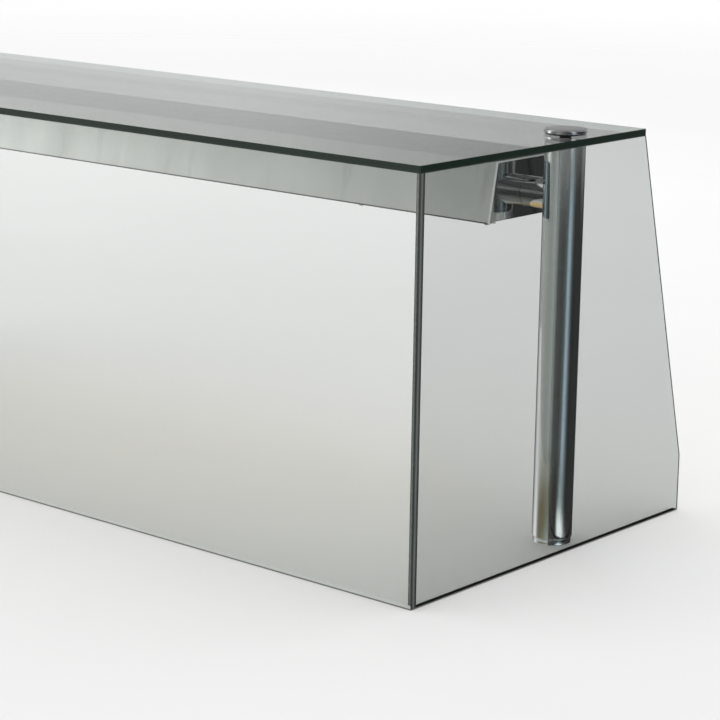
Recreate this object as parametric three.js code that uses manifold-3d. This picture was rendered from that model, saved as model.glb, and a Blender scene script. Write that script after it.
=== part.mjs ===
// Glass sneeze guard for a serving counter, with a lamp canopy held between its two posts.
// Millimetres. +X runs along the counter, +Y from the customer's side to the server's side, +Z up.
// The origin is on the worktop, at the middle of the guard's footprint.
import * as THREE from "three";
import { mergeVertices } from "three/addons/utils/BufferGeometryUtils.js";
import Module from "manifold-3d";

const wasm = await Module();
wasm.setup();

// ---- Driving dimensions ----
const LENGTH = 1500;
const TOP_DEPTH = 440; // front to back of the top glass
const BASE_DEPTH = 550; // front to back of the end glass at the worktop
const GLASS = 8;
const GLASS_TOP = 510; // upper face of the top glass
const HEEL = 74; // height at which the end glass starts to slant forward
const GAP = 0.3; // left between pieces that touch or are bonded
const SEAL = 1.2; // thickness of the bead under the panes
const PAST = 2; // how far a cut runs beyond the faces it goes through

const FRONT = -BASE_DEPTH / 2;
const END = LENGTH / 2;
const GLASS_UNDER = GLASS_TOP - GLASS;
const PANE_BOTTOM = SEAL + GAP;
const PANE_TOP = GLASS_UNDER - GAP;

const POST_X = END - 42;
const POST_Y = FRONT + 329;
const POST_R = 25;
const POST_BORE_R = 23;
const NECK_R = 23.7;
const NECK_HEIGHT = 6.7;
const SPIGOT = 38; // of the foot, inside the tube
const BASE_BORE_R = 9; // an M20 thread on the real foot
const GLASS_HOLE_R = 7;
const SHANK_R = 4;
const SHANK_DEPTH = 20; // of the cap's shank below the post's top
const CAP_R = 26.5;
const CAP_THICK = 4.5;
const CAP_ROUND = 1.6;
const WASHER = 1.5;
const GASKET = 1;
const GASKET_R = 24;
const PLUG_LENGTH = 25;
const POST_TOP = GLASS_UNDER - GASKET - 2 * GAP;

const HOOD_UNDER = GLASS_TOP - 107;
const HOOD_TOP = GLASS_TOP - 33;
const HOOD_BOTTOM_HALF = 80.5;
const HOOD_TOP_HALF = 66;
const HOOD_SHEET = 1.2;
const LIP_END = 66.5; // the bottom lips leave a mouth of twice this
const PLATE_X = END - 94; // outer face of each mirror-polished end plate
const PLATE = 1.5;
const HOOD_END = PLATE_X + 1.5;
const FLANGE_LENGTH = 14;

const STUB_Z = GLASS_TOP - 75.5;
const STUB_R = 19;
const WIREWAY_R = 5;
const BOLT_R = 8;
const BOLT_BORE_R = 4;
const BOLT_HEAD_R = 24 / Math.sqrt(3);
const BOLT_HEAD = 9;
const BOLT_LENGTH = 22;
const BOLT_WASHER = 2;
const BOLT_WASHER_R = 15;

const REFLECTOR_END = 640;
const REFLECTOR_SHEET = 1;
const ROOF_Z = 444; // underside of the reflector's roof
const ROOF_HALF = 34;

const LAMP_Z = 424;
const LAMP_END = 599.7; // outer face of the lamp's caps
const LAMP_R = 12.2;
const LAMP_WALL = 0.8;
const LAMP_CAP_R = 13;
const LAMP_CAP_LENGTH = 16;
const LAMP_CAP_WALL = 2.5;
const PIN_R = 1.17;
const PIN_LENGTH = 7.1;
const PIN_SPACING = 12.7;
const SLEEVE_R = 13.1;

const HOLDER_X = LAMP_END + 0.5;
const HOLDER_THICK = 12;
const HOLDER_R = 12;
const HOLDER_NECK_HALF = 8;
const HOLDER_NECK_RISE = 7; // above the reflector's roof
const ROTOR_R = 8.1;
const ROTOR_LENGTH = 7.9;
const PIN_SLOT = 3;

const BALLAST_X = -120;
const BALLAST_LENGTH = 280;
const BALLAST_HEIGHT = 21;
const BALLAST_HALF = 15;
const BALLAST_CHAMFER = 3;
const TAB_LENGTH = 12; // of the ballast's fixing tabs
const TAB_HALF = 12;
const TAB_SHEET = 1.5;
const TERMINAL_X = 78;
const TERMINAL_HALF = 16.5;
const TERMINAL_PITCH = 11;
const WELL_R = 2.2; // of the terminal screws' wells
const LEAD_R = 2.5;
const FLANGE_SCREW_U = 72.5; // from the canopy's centre line
const REFLECTOR_SCREW_X = 450;
const END_SCREW_X = PLATE_X - 8;
const SCREW_R = 2;
const SCREW_HEAD_R = 4;
const SCREW_HEAD = 2.4;
const SCREW_ROUND = 1.2;
const SOCKET_R = 1.6;
const SOCKET_DEPTH = 1.4;

const FINE = 32; // sides of the large round pieces
const MEDIUM = 24;
const COARSE = 12;

// ---- Materials ----
const paint = (color, roughness, metalness, opacity = 1) =>
  new THREE.MeshStandardMaterial({
    color,
    roughness,
    metalness,
    opacity,
    transparent: opacity < 1,
  });

const glass = paint(0xc4d3cc, 0.05, 0, 0.35);
const darkSeal = paint(0x3a3b39, 0.6, 0);
const polishedSteel = paint(0xc8c9c9, 0.12, 1);
const satinSteel = paint(0xbfc0bf, 0.38, 1);
const plainSteel = paint(0x9a9b9c, 0.45, 1);
const darkNylon = paint(0x202122, 0.55, 0);
const whitePaint = paint(0xf0efea, 0.4, 0);
const whitePlastic = paint(0xe8e7e2, 0.5, 0);
const lampGlass = paint(0xfff4dc, 0.3, 0);
const capMetal = paint(0xc2c3c4, 0.35, 1);
const clearSleeve = paint(0xe9eeec, 0.1, 0, 0.3);
const blackLead = paint(0x232323, 0.6, 0);

// ---- Solids ----
function solid(geometry) {
  const bare = geometry.clone();
  bare.deleteAttribute("normal");
  bare.deleteAttribute("uv");
  const merged = mergeVertices(bare, 1e-4);
  return new wasm.Manifold(
    new wasm.Mesh({
      numProp: 3,
      vertProperties: merged.attributes.position.array,
      triVerts: new Uint32Array(merged.index.array),
    }),
  );
}

function geometryOf(manifold) {
  const { vertProperties, triVerts } = manifold.getMesh();
  const geometry = new THREE.BufferGeometry();
  geometry.setAttribute("position", new THREE.BufferAttribute(vertProperties, 3));
  geometry.setIndex(new THREE.BufferAttribute(triVerts, 1));
  geometry.computeVertexNormals();
  return geometry;
}

const cut = (body, ...tools) =>
  geometryOf(tools.reduce((left, tool) => left.subtract(solid(tool)), solid(body)));

const join = (body, ...others) =>
  geometryOf(others.reduce((whole, other) => whole.add(solid(other)), solid(body)));

function outline(points) {
  return new THREE.Shape(points.map(([a, b]) => new THREE.Vector2(a, b)));
}

// An outline in (y, z), extruded from x0 to x1.
function alongX(shape, x0, x1) {
  const geometry = new THREE.ExtrudeGeometry(shape, {
    depth: x1 - x0,
    bevelEnabled: false,
    curveSegments: COARSE,
  });
  const turn = new THREE.Matrix4().makeBasis(
    new THREE.Vector3(0, 1, 0),
    new THREE.Vector3(0, 0, 1),
    new THREE.Vector3(1, 0, 0),
  );
  return geometry.applyMatrix4(turn).translate(x0, 0, 0);
}

function box(x0, x1, y0, y1, z0, z1) {
  const geometry = new THREE.BoxGeometry(x1 - x0, y1 - y0, z1 - z0);
  return geometry.translate((x0 + x1) / 2, (y0 + y1) / 2, (z0 + z1) / 2);
}

// A profile in (radius, z), turned about the Z axis through (x, y).
function turned(profile, x, y, sides) {
  const points = profile.map(([r, z]) => new THREE.Vector2(r, z));
  return new THREE.LatheGeometry(points, sides).rotateX(Math.PI / 2).translate(x, y, 0);
}

// A profile in (radius, x), turned about an axis along X at (y, z).
function turnedAlongX(profile, y, z, sides) {
  const points = profile.map(([r, x]) => new THREE.Vector2(r, x));
  return new THREE.LatheGeometry(points, sides).rotateZ(-Math.PI / 2).translate(0, y, z);
}

const rod = (r, z0, z1) => [
  [0, z0],
  [r, z0],
  [r, z1],
  [0, z1],
];

const ring = (inner, outer, z0, z1) => [
  [inner, z0],
  [outer, z0],
  [outer, z1],
  [inner, z1],
  [inner, z0],
];

// A bent strip of sheet: the path is one face, and the other lies a thickness to its left.
function foldedSheet(path, thickness) {
  const left = (a, b) => {
    const [dx, dy] = [b[0] - a[0], b[1] - a[1]];
    const length = Math.hypot(dx, dy);
    return [-dy / length, dx / length];
  };
  const other = path.map((point, i) => {
    const before = left(path[Math.max(i - 1, 0)], path[Math.max(i, 1)]);
    const after = left(path[Math.min(i, path.length - 2)], path[Math.min(i + 1, path.length - 1)]);
    const scale = thickness / (1 + before[0] * after[0] + before[1] * after[1]);
    return [point[0] + (before[0] + after[0]) * scale, point[1] + (before[1] + after[1]) * scale];
  });
  return outline([...path, ...other.reverse()]);
}

const guard = new THREE.Group();

function add(name, geometry, material) {
  const mesh = new THREE.Mesh(geometry, material);
  mesh.name = name;
  guard.add(mesh);
}

// What is made for the right end also serves the left, turned half round the guard's post line.
const SIDES = ["right", "left"];

function addAtBothEnds(name, geometry, material) {
  for (const side of SIDES) {
    const copy = side === "right" ? geometry : geometry.clone();
    if (side === "left") {
      copy.translate(0, -POST_Y, 0).rotateZ(Math.PI).translate(0, POST_Y, 0);
    }
    add(`${name}_${side}`, copy, material);
  }
}

// ---- Glass ----
function topGlass() {
  const pane = box(-END, END, FRONT, FRONT + TOP_DEPTH, GLASS_UNDER, GLASS_TOP);
  const holes = [-POST_X, POST_X].map((x) =>
    turned(rod(GLASS_HOLE_R, GLASS_UNDER - PAST, GLASS_TOP + PAST), x, POST_Y, MEDIUM),
  );
  return cut(pane, ...holes);
}

function endGlass() {
  return outline([
    [FRONT + GLASS + GAP, PANE_BOTTOM],
    [FRONT + BASE_DEPTH, PANE_BOTTOM],
    [FRONT + BASE_DEPTH, HEEL],
    [FRONT + TOP_DEPTH, PANE_TOP],
    [FRONT + GLASS + GAP, PANE_TOP],
  ]);
}

function addGlass() {
  add("top_glass", topGlass(), glass);
  add("front_glass", box(-END, END, FRONT, FRONT + GLASS, PANE_BOTTOM, PANE_TOP), glass);
  add("end_glass_right", alongX(endGlass(), END - GLASS, END), glass);
  add("end_glass_left", alongX(endGlass(), -END, -END + GLASS), glass);

  const sealEdge = 0.5; // the bead stops this far short of each pane's faces
  const [near, far] = [FRONT + sealEdge, FRONT + GLASS - sealEdge];
  const [inner, outer] = [END - GLASS + sealEdge, END - sealEdge];
  add("front_seal", box(-outer, outer, near, far, 0, SEAL), darkSeal);
  const rear = FRONT + BASE_DEPTH - sealEdge;
  add("end_seal_right", box(inner, outer, far + GAP, rear, 0, SEAL), darkSeal);
  add("end_seal_left", box(-outer, -inner, far + GAP, rear, 0, SEAL), darkSeal);
}

// ---- Posts ----
function postTube() {
  const bottom = NECK_HEIGHT + GAP;
  const chamfer = 1;
  const profile = [
    [POST_BORE_R, bottom],
    [POST_R - chamfer, bottom],
    [POST_R, bottom + chamfer],
    [POST_R, POST_TOP],
    [POST_BORE_R, POST_TOP],
    [POST_BORE_R, bottom],
  ];
  const wireHole = turnedAlongX(rod(WIREWAY_R, POST_X - 2 * POST_R, POST_X), POST_Y, STUB_Z, COARSE);
  return cut(turned(profile, POST_X, POST_Y, FINE), wireHole);
}

function postBase() {
  const spigot = POST_BORE_R - GAP;
  const profile = [
    [BASE_BORE_R, 0],
    [NECK_R, 0],
    [NECK_R, NECK_HEIGHT],
    [spigot, NECK_HEIGHT],
    [spigot, NECK_HEIGHT + SPIGOT],
    [BASE_BORE_R, NECK_HEIGHT + SPIGOT],
    [BASE_BORE_R, 0],
  ];
  return turned(profile, POST_X, POST_Y, FINE);
}

function postCap() {
  const under = GLASS_TOP + WASHER + 2 * GAP;
  const top = under + CAP_THICK;
  const edge = [0, 1, 2].map((i) => {
    const angle = (i * Math.PI) / 4;
    const [out, up] = [Math.cos(angle), Math.sin(angle)];
    return [CAP_R - CAP_ROUND * (1 - out), top - CAP_ROUND * (1 - up)];
  });
  const profile = [
    [0, POST_TOP - SHANK_DEPTH],
    [SHANK_R, POST_TOP - SHANK_DEPTH],
    [SHANK_R, under],
    [CAP_R - GAP, under],
    [CAP_R, under + GAP],
    ...edge,
    [0, top],
  ];
  return turned(profile, POST_X, POST_Y, FINE);
}

function addPosts() {
  const shankHole = SHANK_R + GAP;
  const at = (profile, sides = MEDIUM) => turned(profile, POST_X, POST_Y, sides);
  addAtBothEnds("post_tube", postTube(), polishedSteel);
  addAtBothEnds("post_base", postBase(), polishedSteel);
  const plug = ring(shankHole, POST_BORE_R - GAP, POST_TOP - PLUG_LENGTH, POST_TOP);
  addAtBothEnds("post_plug", at(plug), plainSteel);
  const gasket = ring(shankHole, GASKET_R, POST_TOP + GAP, GLASS_UNDER - GAP);
  addAtBothEnds("glass_gasket", at(gasket), darkNylon);
  const bush = ring(shankHole, GLASS_HOLE_R - GAP, GLASS_UNDER, GLASS_TOP);
  addAtBothEnds("glass_bush", at(bush, COARSE), darkNylon);
  const washer = ring(shankHole, POST_R, GLASS_TOP + GAP, GLASS_TOP + GAP + WASHER);
  addAtBothEnds("cap_washer", at(washer), darkNylon);
  addAtBothEnds("post_cap", postCap(), polishedSteel);
}

// ---- Arms between posts and canopy ----
const BOLT_SEAT = PLATE_X - PLATE - BOLT_WASHER - 2 * GAP;

const BOLT_HOLE_R = BOLT_R + GAP;

// A short bar, tapped for the canopy bolt and drilled for the lead, with a saddle that fits the post.
function stub() {
  const face = PLATE_X + GAP;
  const threadEnd = BOLT_SEAT + BOLT_LENGTH + 1;
  const tip = POST_X - POST_R / 2; // inside the post, which then cuts the saddle
  const profile = [
    [BOLT_HOLE_R, face],
    [STUB_R, face],
    [STUB_R, tip],
    [WIREWAY_R, tip],
    [WIREWAY_R, threadEnd],
    [BOLT_HOLE_R, threadEnd],
    [BOLT_HOLE_R, face],
  ];
  const reach = STUB_R + PAST;
  const post = rod(POST_R + GAP, STUB_Z - reach, STUB_Z + reach);
  const saddle = turned(post, POST_X, POST_Y, 2 * FINE);
  return cut(turnedAlongX(profile, POST_Y, STUB_Z, FINE), saddle);
}

// A hollow hexagon bolt, through which the lead leaves the canopy.
function canopyBolt() {
  const [start, end] = [BOLT_SEAT - BOLT_HEAD, BOLT_SEAT + BOLT_LENGTH];
  const onAxis = (profile, sides) => turnedAlongX(profile, POST_Y, STUB_Z, sides);
  const head = onAxis(rod(BOLT_HEAD_R, start, BOLT_SEAT), 6);
  const shank = onAxis(rod(BOLT_R, start + BOLT_HEAD / 2, end), MEDIUM);
  const bore = onAxis(rod(BOLT_BORE_R, start - PAST, end + PAST), COARSE);
  return cut(join(head, shank), bore);
}

function addArms() {
  addAtBothEnds("stub", stub(), polishedSteel);
  addAtBothEnds("canopy_bolt", canopyBolt(), plainSteel);
  const start = BOLT_SEAT + GAP;
  const washer = ring(BOLT_HOLE_R, BOLT_WASHER_R, start, start + BOLT_WASHER);
  addAtBothEnds("canopy_washer", turnedAlongX(washer, POST_Y, STUB_Z, MEDIUM), plainSteel);
}

// ---- Canopy ----
const TAPER = (HOOD_BOTTOM_HALF - HOOD_TOP_HALF) / (HOOD_TOP - HOOD_UNDER);

// Half width of the hood at height z, measured to a surface that lies `inset` inside its outer face.
const hoodHalf = (z, inset) =>
  HOOD_BOTTOM_HALF - (z - HOOD_UNDER) * TAPER - inset * Math.hypot(1, TAPER);

const across = (points) => points.map(([u, z]) => [POST_Y + u, z]);
const mirrored = (points) => [...points, ...points.map(([u, z]) => [-u, z]).reverse()];

// A screw's hole through a sheet that lies between two heights.
const screwHole = (x, u, z0, z1) =>
  turned(rod(SCREW_R + GAP, z0 - PAST, z1 + PAST), x, POST_Y + u, COARSE);

const LIP_TOP = HOOD_UNDER + HOOD_SHEET;

function hood() {
  const half = [
    [LIP_END, HOOD_UNDER],
    [HOOD_BOTTOM_HALF, HOOD_UNDER],
    [HOOD_TOP_HALF, HOOD_TOP],
  ];
  const sheet = alongX(foldedSheet(across(mirrored(half)), HOOD_SHEET), -HOOD_END, HOOD_END);
  const holes = [-END_SCREW_X, -REFLECTOR_SCREW_X, REFLECTOR_SCREW_X, END_SCREW_X].flatMap((x) =>
    [-FLANGE_SCREW_U, FLANGE_SCREW_U].map((u) => screwHole(x, u, HOOD_UNDER, LIP_TOP)),
  );
  return cut(sheet, ...holes);
}

function canopyEnd() {
  const bottom = LIP_TOP + GAP;
  const top = HOOD_TOP - HOOD_SHEET - GAP;
  const inset = HOOD_SHEET + GAP;
  const back = PLATE_X - PLATE;
  const flangeTop = bottom + PLATE;
  const half = [bottom, top].map((z) => [hoodHalf(z, inset), z]);
  const plate = alongX(outline(across(mirrored(half))), back, PLATE_X);
  const [inner, outer] = [LIP_END + 1, hoodHalf(flangeTop, inset + GAP)];
  const flanges = [-1, 1].map((way) => {
    const [y0, y1] = [way * inner, way * outer].sort((a, b) => a - b).map((u) => POST_Y + u);
    return box(back - FLANGE_LENGTH, PLATE_X - PLATE / 2, y0, y1, bottom, flangeTop);
  });
  const holes = [
    turnedAlongX(rod(BOLT_HOLE_R, back - PAST, PLATE_X + PAST), POST_Y, STUB_Z, MEDIUM),
    ...[-1, 1].map((way) => screwHole(END_SCREW_X, way * FLANGE_SCREW_U, bottom, flangeTop)),
  ];
  return cut(join(plate, ...flanges), ...holes);
}

// A socket-head screw that points up, its head under a lip or the reflector's roof.
function screw(x, y, seat, length) {
  const face = seat - SCREW_HEAD;
  const profile = [
    [0, face],
    [SCREW_HEAD_R - SCREW_ROUND, face],
    [SCREW_HEAD_R - SCREW_ROUND / 3, face + SCREW_ROUND / 3],
    [SCREW_HEAD_R, face + SCREW_ROUND],
    [SCREW_HEAD_R, seat],
    [SCREW_R, seat],
    [SCREW_R, seat + length],
    [0, seat + length],
  ];
  const socket = turned(rod(SOCKET_R, face - PAST, face + SOCKET_DEPTH), x, y, 6);
  return cut(turned(profile, x, y, COARSE), socket);
}

function addCanopy() {
  add("canopy_hood", hood(), satinSteel);
  addAtBothEnds("canopy_end", canopyEnd(), polishedSteel);
  const [seat, length] = [HOOD_UNDER - GAP, 6];
  let index = 0;
  for (const way of [1, -1]) {
    for (const u of [-FLANGE_SCREW_U, FLANGE_SCREW_U]) {
      index += 1;
      add(`end_screw_${index}`, screw(way * END_SCREW_X, POST_Y + u, seat, length), plainSteel);
      const x = way * REFLECTOR_SCREW_X;
      add(`reflector_screw_${index}`, screw(x, POST_Y + u, seat, length), plainSteel);
    }
  }
}

// ---- Reflector and lamp gear ----
const HOLDER_NECK = [HOLDER_X + 2, HOLDER_X + 9];
const ROOF_TOP = ROOF_Z + REFLECTOR_SHEET;
const BALLAST_SCREW_X = (BALLAST_LENGTH + TAB_LENGTH) / 2;

function reflector() {
  const flange = LIP_TOP + GAP;
  const half = [
    [hoodHalf(flange + REFLECTOR_SHEET, HOOD_SHEET + 2 * GAP), flange],
    [LIP_END - 2 * GAP, flange],
    [ROOF_HALF, ROOF_Z],
  ];
  const path = across(mirrored(half).map(([u, z]) => [-u, z]));
  const sheet = alongX(foldedSheet(path, REFLECTOR_SHEET), -REFLECTOR_END, REFLECTOR_END);
  const slots = [1, -1].map((way) => {
    const ends = [way * (HOLDER_NECK[0] - GAP), way * (HOLDER_NECK[1] + GAP)];
    const [x0, x1] = ends.sort((a, b) => a - b);
    const half = HOLDER_NECK_HALF + GAP;
    return box(x0, x1, POST_Y - half, POST_Y + half, ROOF_Z - PAST, ROOF_TOP + PAST);
  });
  const holes = [
    ...[-1, 1].map((way) => screwHole(BALLAST_X + way * BALLAST_SCREW_X, 0, ROOF_Z, ROOF_TOP)),
    ...[-REFLECTOR_SCREW_X, REFLECTOR_SCREW_X].flatMap((x) =>
      [-FLANGE_SCREW_U, FLANGE_SCREW_U].map((u) => screwHole(x, u, flange, flange + REFLECTOR_SHEET)),
    ),
  ];
  return cut(sheet, ...slots, ...holes);
}

function lampholder() {
  const top = ROOF_Z - GAP;
  const face = new THREE.Shape();
  face.moveTo(POST_Y + HOLDER_R, LAMP_Z);
  face.lineTo(POST_Y + HOLDER_R, top);
  face.lineTo(POST_Y - HOLDER_R, top);
  face.lineTo(POST_Y - HOLDER_R, LAMP_Z);
  face.absarc(POST_Y, LAMP_Z, HOLDER_R, Math.PI, 2 * Math.PI, false);
  const body = alongX(face, HOLDER_X, HOLDER_X + HOLDER_THICK);
  const [neckFront, neckBack] = [POST_Y - HOLDER_NECK_HALF, POST_Y + HOLDER_NECK_HALF];
  const neck = box(...HOLDER_NECK, neckFront, neckBack, LAMP_Z, ROOF_TOP + HOLDER_NECK_RISE);
  const [start, end] = [HOLDER_X - PAST, HOLDER_X + ROTOR_LENGTH + 2 * GAP];
  const pocket = turnedAlongX(rod(ROTOR_R + GAP, start, end), POST_Y, LAMP_Z, MEDIUM);
  const entryHalf = PIN_SLOT / 2 + GAP;
  const [entryFront, entryBack] = [POST_Y - entryHalf, POST_Y + entryHalf];
  const entry = box(start, end, entryFront, entryBack, LAMP_Z - HOLDER_R - PAST, LAMP_Z);
  return cut(join(body, neck), pocket, entry);
}

function rotor() {
  const start = HOLDER_X + GAP;
  const disc = turnedAlongX(rod(ROTOR_R, start, start + ROTOR_LENGTH), POST_Y, LAMP_Z, MEDIUM);
  const end = LAMP_END + PIN_LENGTH + GAP;
  const [half, reach] = [PIN_SLOT / 2, ROTOR_R + PAST];
  const slot = box(start - PAST, end, POST_Y - reach, POST_Y + reach, LAMP_Z - half, LAMP_Z + half);
  return cut(disc, slot);
}

function lampCap() {
  const inner = LAMP_R + GAP;
  const start = LAMP_END - LAMP_CAP_LENGTH;
  const floor = LAMP_END - LAMP_CAP_WALL;
  const chamfer = 0.8;
  const profile = [
    [inner, start],
    [LAMP_CAP_R, start],
    [LAMP_CAP_R, LAMP_END - chamfer],
    [LAMP_CAP_R - chamfer, LAMP_END],
    [0, LAMP_END],
    [0, floor],
    [inner, floor],
    [inner, start],
  ];
  const pin = rod(PIN_R, LAMP_END - LAMP_CAP_WALL / 2, LAMP_END + PIN_LENGTH);
  const pins = [-1, 1].map((way) =>
    turnedAlongX(pin, POST_Y + (way * PIN_SPACING) / 2, LAMP_Z, 8),
  );
  return join(turnedAlongX(profile, POST_Y, LAMP_Z, MEDIUM), ...pins);
}

function addLamp() {
  const tubeEnd = LAMP_END - LAMP_CAP_WALL - GAP;
  const tube = ring(LAMP_R - LAMP_WALL, LAMP_R, -tubeEnd, tubeEnd);
  add("lamp_tube", turnedAlongX(tube, POST_Y, LAMP_Z, MEDIUM), lampGlass);
  const sleeveEnd = LAMP_END - LAMP_CAP_LENGTH - GAP;
  const sleeve = ring(LAMP_R + GAP, SLEEVE_R, -sleeveEnd, sleeveEnd);
  add("lamp_sleeve", turnedAlongX(sleeve, POST_Y, LAMP_Z, MEDIUM), clearSleeve);
  addAtBothEnds("lamp_cap", lampCap(), capMetal);
  addAtBothEnds("lampholder", lampholder(), whitePlastic);
  addAtBothEnds("rotor", rotor(), whitePlastic);
}

function ballast() {
  const bottom = ROOF_TOP + GAP;
  const top = bottom + BALLAST_HEIGHT;
  const half = [
    [BALLAST_HALF, bottom],
    [BALLAST_HALF, top - BALLAST_CHAMFER],
    [BALLAST_HALF - BALLAST_CHAMFER, top],
  ];
  const [x0, x1] = [BALLAST_X - BALLAST_LENGTH / 2, BALLAST_X + BALLAST_LENGTH / 2];
  const can = alongX(outline(across(mirrored(half))), x0, x1);
  const [front, back] = [POST_Y - TAB_HALF, POST_Y + TAB_HALF];
  const foot = box(x0 - TAB_LENGTH, x1 + TAB_LENGTH, front, back, bottom, bottom + TAB_SHEET);
  const holes = [-1, 1].map((way) =>
    screwHole(BALLAST_X + way * BALLAST_SCREW_X, 0, bottom, bottom + TAB_SHEET),
  );
  return cut(join(can, foot), ...holes);
}

// Three pairs of terminals: low ledges for the wires on both sides of a wall with the screws' wells.
function terminalBlock() {
  const bottom = ROOF_TOP + GAP;
  const [ledgeHalf, ledgeTop] = [10, bottom + 10];
  const [wallHalf, wallTop] = [5, bottom + 17];
  const half = [
    [ledgeHalf, bottom],
    [ledgeHalf, ledgeTop],
    [wallHalf, ledgeTop],
    [wallHalf, wallTop],
  ];
  const body = alongX(
    outline(across(mirrored(half))),
    TERMINAL_X - TERMINAL_HALF,
    TERMINAL_X + TERMINAL_HALF,
  );
  const wells = [-TERMINAL_PITCH, 0, TERMINAL_PITCH].map((offset) =>
    turned(rod(WELL_R, bottom + 8, wallTop + PAST), TERMINAL_X + offset, POST_Y, 8),
  );
  return cut(body, ...wells);
}

// Sheathed wiring, clipped along the reflector's roof.
function lead(points) {
  const section = new THREE.Shape();
  section.absarc(0, 0, LEAD_R, 0, 2 * Math.PI, false);
  const route = new THREE.CatmullRomCurve3(
    points.map(([x, y, z]) => new THREE.Vector3(x, y, z)),
    false,
    "centripetal",
  );
  return new THREE.ExtrudeGeometry(section, {
    steps: 11,
    curveSegments: 4,
    extrudePath: route,
    bevelEnabled: false,
  });
}

function addGear() {
  add("reflector", reflector(), whitePaint);
  add("ballast", ballast(), whitePaint);
  add("terminal_block", terminalBlock(), whitePlastic);
  for (const [side, way] of [["left", -1], ["right", 1]]) {
    const x = BALLAST_X + way * BALLAST_SCREW_X;
    const length = 8;
    add(`ballast_screw_${side}`, screw(x, POST_Y, ROOF_Z - GAP, length), plainSteel);
  }
  const z = ROOF_TOP + 2 * LEAD_R;
  const [leftEnd, rightEnd] = [-1, 1].map((way) => BALLAST_X + (way * BALLAST_LENGTH) / 2);
  const clear = 1.5; // room for a lead's slanting end
  const holderEnd = HOLDER_NECK[0] - clear;
  const leftRoute = [
    [leftEnd - clear, POST_Y + 9, z],
    [leftEnd - 40, POST_Y + 14, z],
    [-holderEnd + 60, POST_Y + 14, z],
    [-holderEnd, POST_Y + 3, z],
  ];
  const rightRoute = [
    [rightEnd + clear, POST_Y + 9, z],
    [rightEnd + 26, POST_Y + 15, z],
    [TERMINAL_X + 30, POST_Y + 16, z],
    [holderEnd - 60, POST_Y + 14, z],
    [holderEnd, POST_Y + 3, z],
  ];
  const mainsRoute = [
    [rightEnd + clear, POST_Y - 9, z],
    [rightEnd + 20, POST_Y - 8, z],
    [TERMINAL_X - TERMINAL_HALF - clear, POST_Y - 5, z],
  ];
  add("lead_left", lead(leftRoute), blackLead);
  add("lead_right", lead(rightRoute), blackLead);
  add("lead_mains", lead(mainsRoute), blackLead);
}

addGlass();
addPosts();
addArms();
addCanopy();
addGear();
addLamp();

export default guard;
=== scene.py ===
"""Glass sneeze guard with a lamp canopy: surfaces, materials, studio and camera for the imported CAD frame."""

import math

import bmesh
import bpy
from mathutils import Matrix, Vector


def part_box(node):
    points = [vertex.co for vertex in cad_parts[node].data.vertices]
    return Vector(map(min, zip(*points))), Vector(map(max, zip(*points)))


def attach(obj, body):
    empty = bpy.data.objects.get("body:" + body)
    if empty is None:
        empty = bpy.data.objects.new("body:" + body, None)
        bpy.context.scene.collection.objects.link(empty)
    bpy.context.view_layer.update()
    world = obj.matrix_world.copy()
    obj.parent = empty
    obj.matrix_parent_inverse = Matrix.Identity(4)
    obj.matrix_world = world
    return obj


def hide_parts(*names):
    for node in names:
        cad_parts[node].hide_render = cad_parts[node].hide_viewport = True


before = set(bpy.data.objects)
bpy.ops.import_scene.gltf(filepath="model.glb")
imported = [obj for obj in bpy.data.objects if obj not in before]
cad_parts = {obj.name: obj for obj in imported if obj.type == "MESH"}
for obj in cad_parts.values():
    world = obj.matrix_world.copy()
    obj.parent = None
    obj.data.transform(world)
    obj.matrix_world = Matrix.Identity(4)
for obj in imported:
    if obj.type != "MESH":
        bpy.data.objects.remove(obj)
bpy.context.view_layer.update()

MM = 0.001
SIDES = {"right": 1, "left": -1}
GUARD, LAMP = "guard", "lamp"

GAP = 0.3 * MM  # between touching pieces, as in the CAD
HEEL = 74 * MM  # height of the upright foot of an end pane's rear edge
POST_HOLE = 7 * MM  # radius of the top pane's hole over a post
SHANK_BORE = 4.3 * MM  # radius of the rings round a cap's shank
FOOT_BORE = 9 * MM
CORNER_FILM = 3.8 * MM  # width of the adhesive seen beside an upright corner


# ---------------------------------------------------------------- mesh tools


def centre_of(node):
    low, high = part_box(node)
    return (low + high) / 2


def size_of(node):
    low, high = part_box(node)
    return high - low


def rounded(points, radius, closed=False, steps=4):
    """The 2-D path with its corners turned into arcs of the radius, or as much of it as fits."""
    count = len(points)
    result = []
    for i, corner in enumerate(points):
        if not closed and i in (0, count - 1):
            result.append(corner)
            continue
        here = Vector(corner)
        before = Vector(points[i - 1]) - here
        after = Vector(points[(i + 1) % count]) - here
        half_angle = before.angle(after) / 2
        reach = min(radius / math.tan(half_angle), 0.45 * before.length, 0.45 * after.length)
        start = here + before.normalized() * reach
        end = here + after.normalized() * reach
        for step in range(steps + 1):
            t = step / steps
            point = start * (1 - t) ** 2 + here * 2 * t * (1 - t) + end * t * t
            result.append(tuple(point))
    return result


def finish_mesh(bm, name, materials, sharp=30):
    """An object from the bmesh, smooth but for the edges sharper than the angle."""
    bmesh.ops.remove_doubles(bm, verts=bm.verts, dist=1e-7)
    bmesh.ops.recalc_face_normals(bm, faces=bm.faces)
    for face in bm.faces:
        face.smooth = True
    limit = math.radians(sharp)
    for edge in bm.edges:
        edge.smooth = len(edge.link_faces) == 2 and edge.calc_face_angle() < limit
    mesh = bpy.data.meshes.new(name)
    bm.to_mesh(mesh)
    bm.free()
    for material in materials:
        mesh.materials.append(material)
    made = bpy.data.objects.new(name, mesh)
    bpy.context.scene.collection.objects.link(made)
    return made


def place(piece, body=GUARD, replaces=()):
    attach(piece, body)
    if replaces:
        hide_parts(*replaces)
    return piece


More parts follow.
